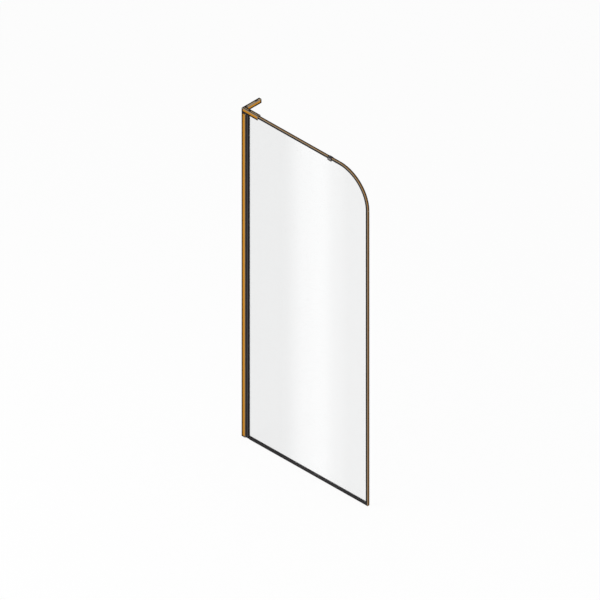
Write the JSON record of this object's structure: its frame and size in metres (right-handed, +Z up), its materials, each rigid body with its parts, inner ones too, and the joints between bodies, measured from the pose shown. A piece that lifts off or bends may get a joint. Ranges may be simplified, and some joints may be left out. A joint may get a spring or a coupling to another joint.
{
  "type": "shower side panel",
  "caption": "Fixed glass shower side panel with a rounded top corner, slim metal edge trim, dark seals, an adjustable wall channel and an L-shaped top bracket.",
  "frame": {"origin": "on the wall plane, in the middle of the glass thickness, at the level of the tray under the panel", "axes": "+X away from the wall along the glass, +Y along the wall towards the wall arm, +Z up"},
  "size_m": [0.885, 0.1255, 2.0044],
  "materials": {
    "gold_aluminium": "gold anodised, satin",
    "gold_bracket": "gold plated, brushed",
    "gold_caps": "gold moulded plastic, satin",
    "dark_aluminium": "black anodised, satin",
    "zinc": "die-cast, plain",
    "steel_plate": "stainless steel, brushed",
    "stainless": "stainless steel, machined",
    "grey_clip": "grey moulded plastic",
    "black_rubber": "black rubber, matt",
    "black_seal": "black flexible vinyl, semi-gloss",
    "black_plastic": "black moulded plastic",
    "nylon": "natural nylon",
    "safety_glass": "clear toughened glass, polished edges"
  },
  "bodies": {
    "wall_side": {"wall_channel": "gold_aluminium", "channel_foot_plug": "black_plastic", "anchor_block": "zinc", "anchor_screws": "stainless", "lock_screws": "stainless", "lock_screw_caps": "gold_caps", "saddle_arm": "gold_bracket", "saddle_cover": "gold_bracket", "saddle_screw": "stainless", "clamp_pads": "nylon", "clamp_screws": "stainless", "arm_joint_screw": "stainless", "wall_arm_plate": "steel_plate", "wall_arm_cover": "gold_bracket", "wall_arm_screws": "stainless", "wall_arm_end_cap": "gold_bracket"},
    "glass_side": {"adjusting_profile": "dark_aluminium", "front_gasket": "black_rubber", "back_gasket": "black_rubber", "setting_blocks": "nylon", "glass_pane": "safety_glass", "top_trim": "gold_aluminium", "top_trim_liner": "black_rubber", "corner_trim": "gold_aluminium", "corner_trim_liner": "black_rubber", "trim_joiner": "grey_clip", "trim_end_plug": "black_plastic", "bottom_seal": "black_seal", "seal_fins": "black_rubber"}
  },
  "joints": [
    {"name": "width_adjustment", "type": "slide", "parent": "wall_side", "child": "glass_side", "axis": [1, 0, 0], "range_m": [-0.01, 0.005]}
  ]
}
